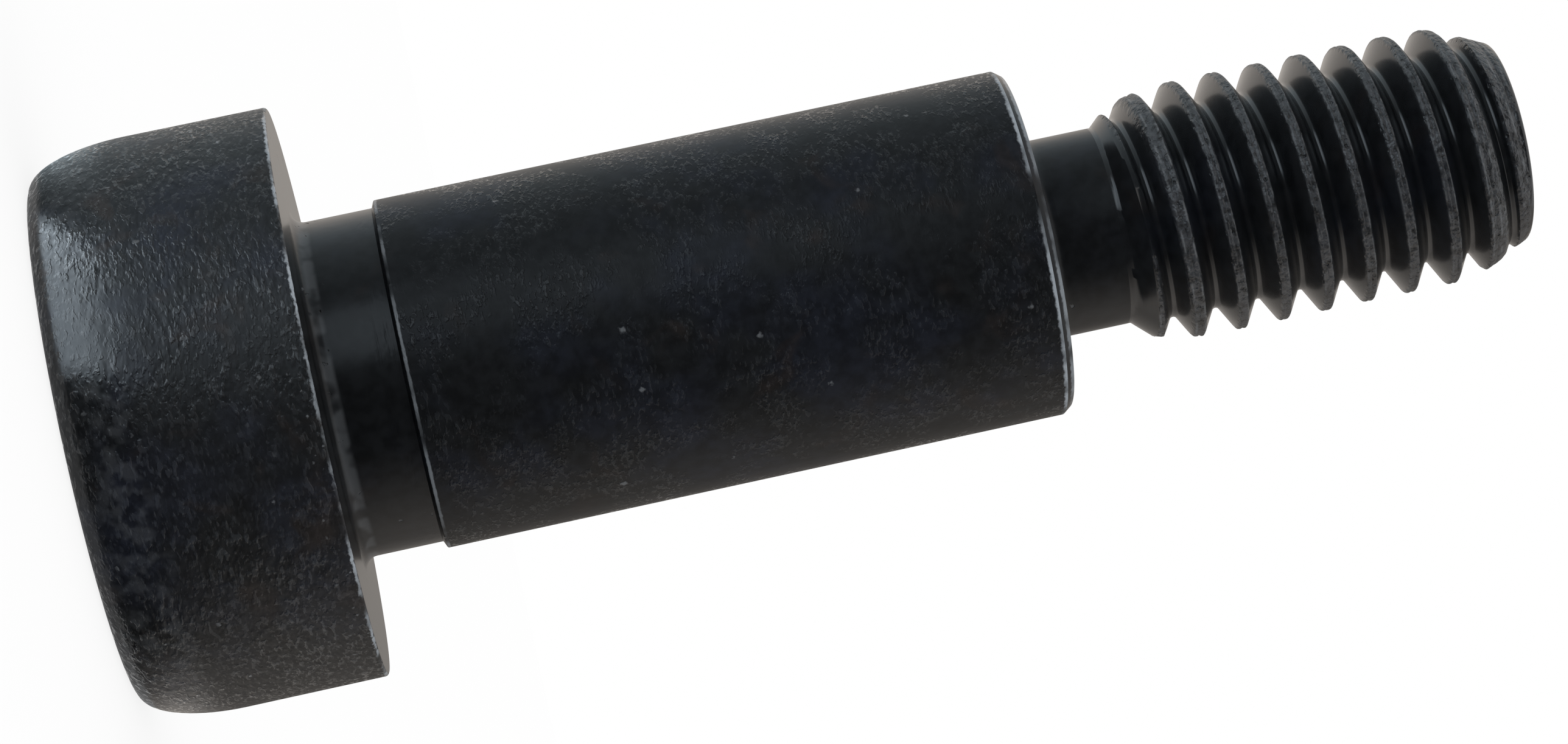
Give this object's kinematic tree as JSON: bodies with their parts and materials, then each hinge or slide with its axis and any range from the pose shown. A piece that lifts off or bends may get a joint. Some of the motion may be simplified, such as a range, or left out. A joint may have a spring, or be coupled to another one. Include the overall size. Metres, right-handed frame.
{
  "type": "shoulder bolt",
  "caption": "Black socket head shoulder bolt: a ground cylindrical shoulder under a round head with a hexagon socket, and a smaller threaded end past a neck, for a pivot or a locating pin.",
  "frame": {"origin": "centre of the head's flat end face, with the bolt standing on its head", "axes": "+Z along the bolt's axis from the head towards the thread; X and Y are radial, and two corners of the hexagon socket lie on X"},
  "size_m": [0.013, 0.013, 0.0328],
  "materials": {
    "black_oxide_steel": "Hardened alloy steel with an oiled black oxide: near-black with a blue cast, satin on the head and shoulder, glossy in the rolled thread, worn grey along edges and crests"
  },
  "bodies": {
    "root": {"shoulder_bolt": "black_oxide_steel"}
  },
  "joints": []
}
